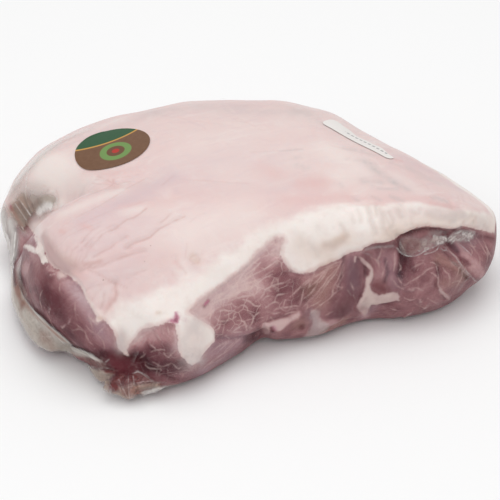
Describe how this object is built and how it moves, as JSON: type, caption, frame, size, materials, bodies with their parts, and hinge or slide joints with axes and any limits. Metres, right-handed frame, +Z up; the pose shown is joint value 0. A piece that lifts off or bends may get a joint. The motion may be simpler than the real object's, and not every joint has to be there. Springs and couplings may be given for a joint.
{
  "type": "bagged pork shoulder",
  "caption": "Raw skin-on pork shoulder in a tight clear bag, lying skin side up, cut muscles along the front, with a round label and a paper strip.",
  "frame": {"origin": "centre of the bottom, on the surface that the part lies on", "axes": "+X along the long cut side towards the thin end, -Y out of the cut side, +Z up through the skin"},
  "size_m": [0.367, 0.2968, 0.1057],
  "materials": {
    "bagged_pork": "glossy clear film over pale pink rind, white fat and mauve raw meat",
    "clear_film": "thin clear shrink film, glossy, greyish where it stands off the meat",
    "printed_label": "satin print in green and brown",
    "white_paper": "matt white paper"
  },
  "bodies": {
    "root": {"bagged_shoulder": "bagged_pork", "round_label": "printed_label", "paper_label": "white_paper"}
  },
  "joints": []
}
